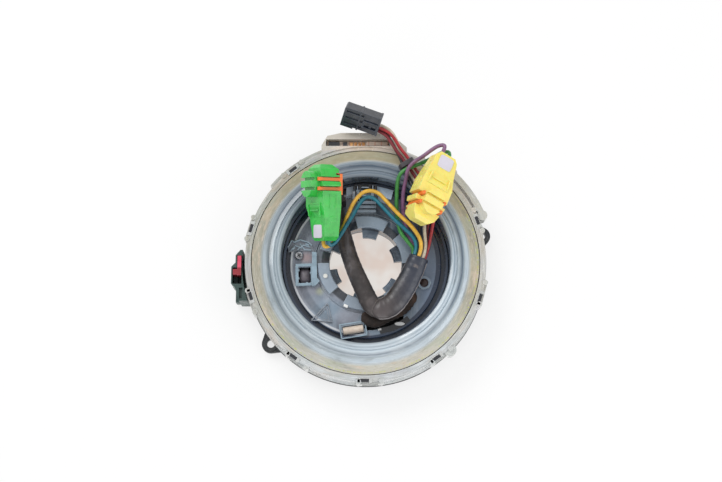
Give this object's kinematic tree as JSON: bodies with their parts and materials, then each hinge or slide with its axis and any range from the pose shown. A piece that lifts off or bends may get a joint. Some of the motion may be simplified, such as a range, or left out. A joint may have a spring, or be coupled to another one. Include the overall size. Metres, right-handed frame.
{
  "type": "steering clock spring",
  "caption": "Steering clock spring: flat-cable cassette with turning hub, centring lock, two airbag plugs and a switch plug on short leads.",
  "frame": {"origin": "on the turning axis at the underside of the base", "axes": "+Z along the turning axis towards the driver, +Y towards the cable box, +X towards the hook arm side"},
  "size_m": [0.1412, 0.152, 0.0543],
  "materials": {
    "housing_tan": "satin",
    "clear_ring": "translucent",
    "rotor_tan": "satin",
    "hub_black": "gloss",
    "drive_black": "satin",
    "terminal_black": "satin",
    "lock_green": "satin",
    "slider_pink": "satin",
    "cable_film": "gloss",
    "pin_white": "satin",
    "screw_steel": "satin",
    "gland_black": "satin",
    "plug_green": "satin",
    "plug_yellow": "satin",
    "clip_orange": "satin",
    "plug_black": "satin",
    "tie_black": "satin",
    "sleeve_black": "satin",
    "wire_yellow": "satin",
    "wire_teal": "satin",
    "wire_green": "satin",
    "wire_purple": "satin",
    "wire_red": "satin",
    "wire_dark_red": "satin",
    "wire_cream": "satin",
    "wire_black": "satin"
  },
  "bodies": {
    "stator": {"base_housing": "housing_tan", "cover_ring": "clear_ring", "stator_terminal": "terminal_black", "lock_housing": "lock_green"},
    "lock": {"lock_slider": "slider_pink"},
    "rotor": {"rotor_shell": "rotor_tan", "hub_plate": "hub_black", "drive_ring": "drive_black", "flat_cable": "cable_film", "clip_pin": "rotor_tan", "hub_screw": "screw_steel", "ring_pin": "pin_white", "cable_gland": "gland_black", "green_plug": "plug_green", "yellow_plug": "plug_yellow", "black_plug": "plug_black", "cable_tie": "tie_black", "sleeve": "sleeve_black", "yellow_wire": "wire_yellow", "teal_wire": "wire_teal", "green_wire": "wire_green", "purple_wire": "wire_purple", "red_wire": "wire_red", "dark_red_wire": "wire_dark_red", "cream_wire": "wire_cream", "black_wire": "wire_black"},
    "green_lock_clip": {"green_clip": "clip_orange"},
    "yellow_lock_clip": {"yellow_clip": "clip_orange"}
  },
  "joints": [
    {"name": "rotor_turn", "type": "hinge", "parent": "stator", "child": "rotor", "pos_m": [0, 0, 0], "axis": [0, 0, 1], "range_deg": [-900, 900], "deforming": ["flat_cable"]},
    {"name": "lock_slide", "type": "slide", "parent": "stator", "child": "lock", "axis": [0, -1, 0], "range_m": [0, 0.004]},
    {"name": "green_clip_push", "type": "slide", "parent": "rotor", "child": "green_lock_clip", "axis": [-0.848, -0.1102, 0.5183], "range_m": [0, 0.002]},
    {"name": "yellow_clip_pull", "type": "slide", "parent": "rotor", "child": "yellow_lock_clip", "axis": [-0.391, 0.0788, -0.917], "range_m": [0, 0.002]}
  ]
}
